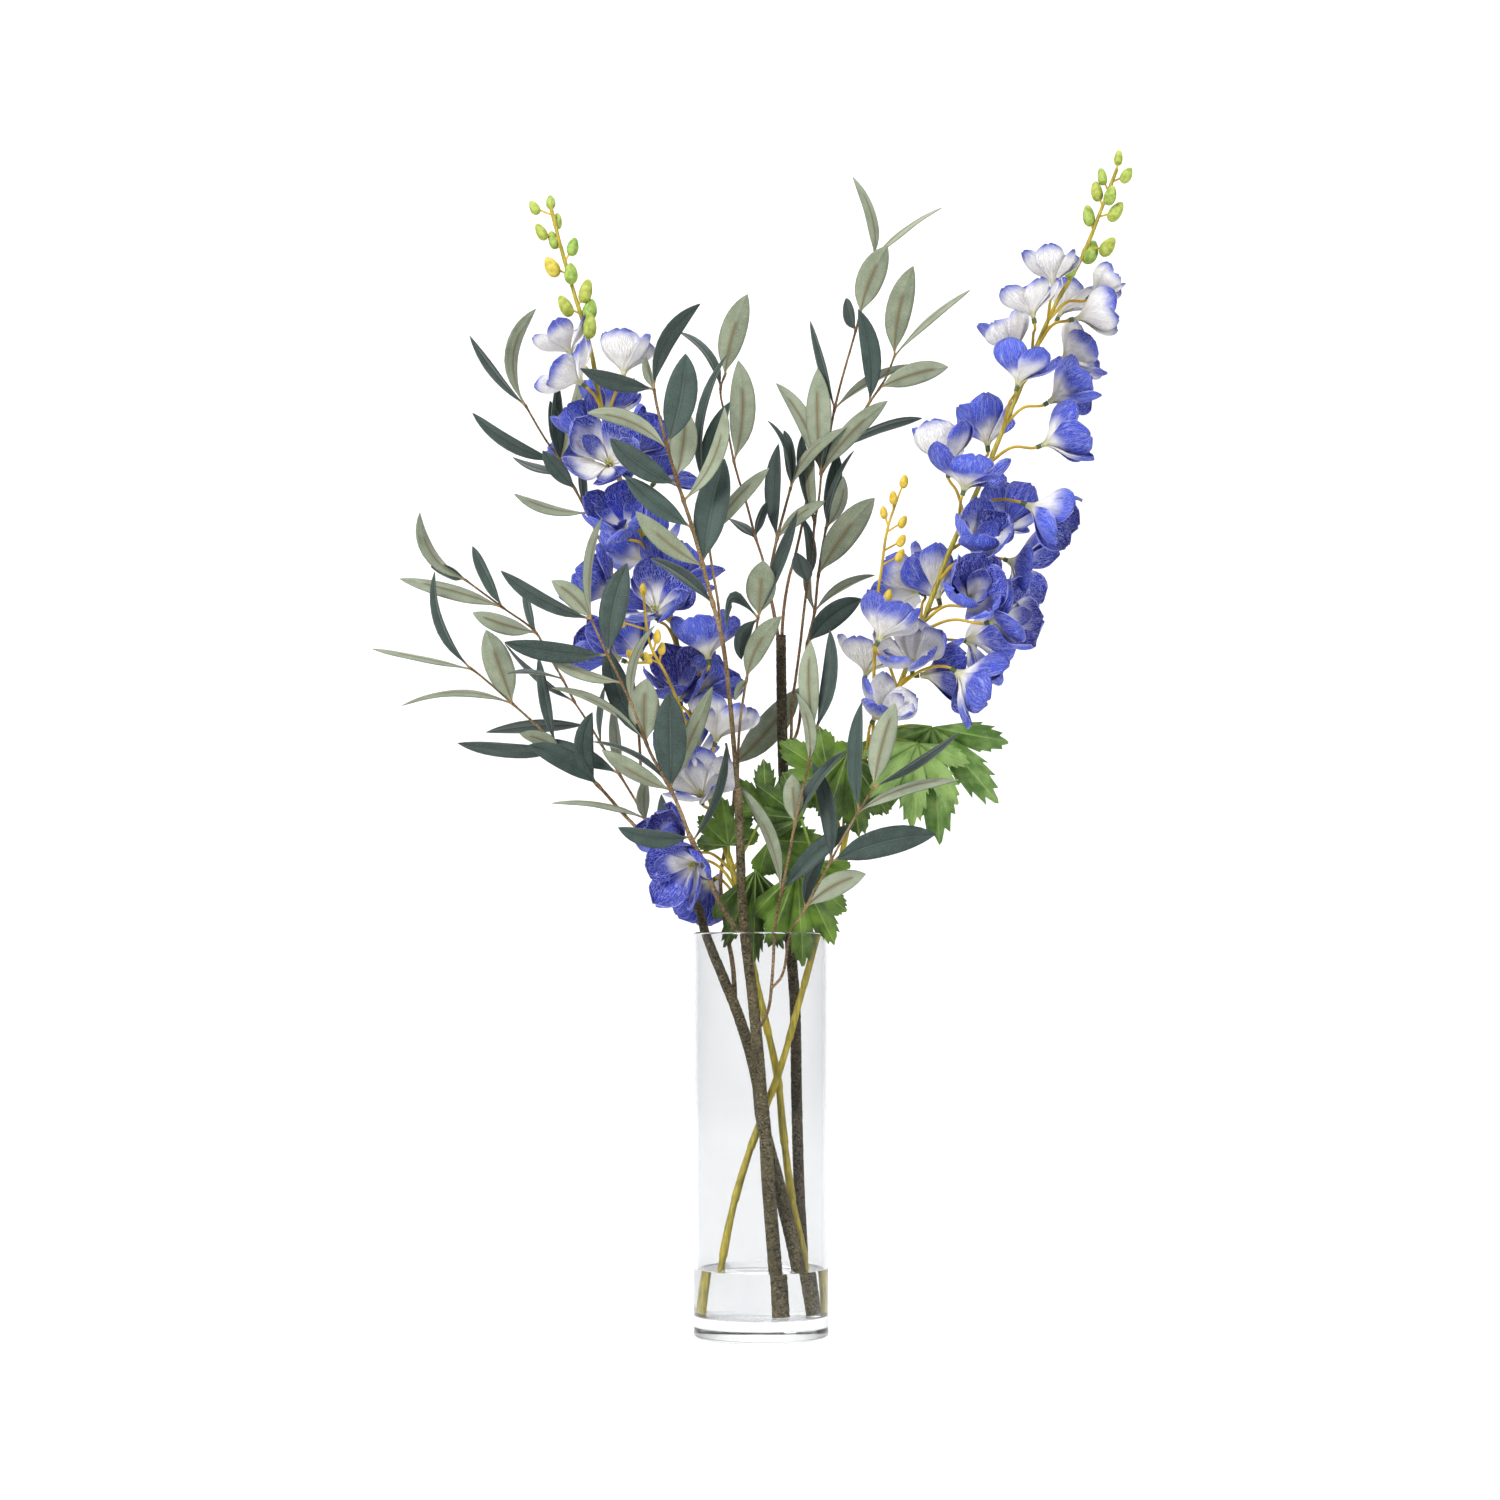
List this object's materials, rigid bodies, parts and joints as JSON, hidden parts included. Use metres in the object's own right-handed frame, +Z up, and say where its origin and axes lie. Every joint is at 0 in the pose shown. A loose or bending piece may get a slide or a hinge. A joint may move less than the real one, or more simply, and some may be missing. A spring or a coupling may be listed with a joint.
{
  "type": "delphiniums in a vase",
  "caption": "Tall delphinium spikes with blue and white florets and olive branches, standing in a clear cylinder vase with a little water.",
  "frame": {"origin": "centre of the vase's foot, on the surface it stands on", "axes": "+Z up along the vase's axis, -Y towards the viewer of the picture, +X to the viewer's right"},
  "size_m": [0.5731, 0.2219, 0.8842],
  "materials": {
    "glass": "clear, polished",
    "water": "clear, glossy",
    "olive": "matt leaves, dark above and pale below, on brown bark",
    "delphinium_green": "satin stalks, buds and lobed leaves",
    "delphinium_petals": "matt veined petals, blue to white"
  },
  "bodies": {
    "root": {"delphinium_left_floret_01": "delphinium_petals", "delphinium_left_floret_02": "delphinium_petals", "delphinium_left_floret_03": "delphinium_petals", "delphinium_left_floret_04": "delphinium_petals", "delphinium_left_floret_05": "delphinium_petals", "delphinium_left_floret_06": "delphinium_petals", "delphinium_left_floret_07": "delphinium_petals", "delphinium_left_floret_08": "delphinium_petals", "delphinium_left_floret_09": "delphinium_petals", "delphinium_left_floret_10": "delphinium_petals", "delphinium_left_floret_11": "delphinium_petals", "delphinium_left_floret_12": "delphinium_petals", "delphinium_left_floret_13": "delphinium_petals", "delphinium_left_floret_14": "delphinium_petals", "delphinium_left_floret_15": "delphinium_petals", "delphinium_left_floret_16": "delphinium_petals", "delphinium_left_floret_17": "delphinium_petals", "delphinium_left_floret_18": "delphinium_petals", "delphinium_left_floret_19": "delphinium_petals", "delphinium_left_floret_20": "delphinium_petals", "delphinium_left_floret_21": "delphinium_petals", "delphinium_left_floret_22": "delphinium_petals", "delphinium_left_floret_23": "delphinium_petals", "delphinium_left_floret_24": "delphinium_petals", "delphinium_left_floret_25": "delphinium_petals", "delphinium_left_green": "delphinium_green", "delphinium_right_floret_01": "delphinium_petals", "delphinium_right_floret_02": "delphinium_petals", "delphinium_right_floret_03": "delphinium_petals", "delphinium_right_floret_04": "delphinium_petals", "delphinium_right_floret_05": "delphinium_petals", "delphinium_right_floret_06": "delphinium_petals", "delphinium_right_floret_07": "delphinium_petals", "delphinium_right_floret_08": "delphinium_petals", "delphinium_right_floret_09": "delphinium_petals", "delphinium_right_floret_10": "delphinium_petals", "delphinium_right_floret_11": "delphinium_petals", "delphinium_right_floret_12": "delphinium_petals", "delphinium_right_floret_13": "delphinium_petals", "delphinium_right_floret_14": "delphinium_petals", "delphinium_right_floret_15": "delphinium_petals", "delphinium_right_floret_16": "delphinium_petals", "delphinium_right_floret_17": "delphinium_petals", "delphinium_right_floret_18": "delphinium_petals", "delphinium_right_floret_19": "delphinium_petals", "delphinium_right_floret_20": "delphinium_petals", "delphinium_right_floret_21": "delphinium_petals", "delphinium_right_floret_22": "delphinium_petals", "delphinium_right_floret_23": "delphinium_petals", "delphinium_right_floret_24": "delphinium_petals", "delphinium_right_floret_25": "delphinium_petals", "delphinium_right_floret_26": "delphinium_petals", "delphinium_right_floret_27": "delphinium_petals", "delphinium_right_floret_28": "delphinium_petals", "delphinium_right_green": "delphinium_green", "olive_back": "olive", "olive_front": "olive", "olive_left": "olive", "vase": "glass", "water": "water"}
  },
  "joints": []
}
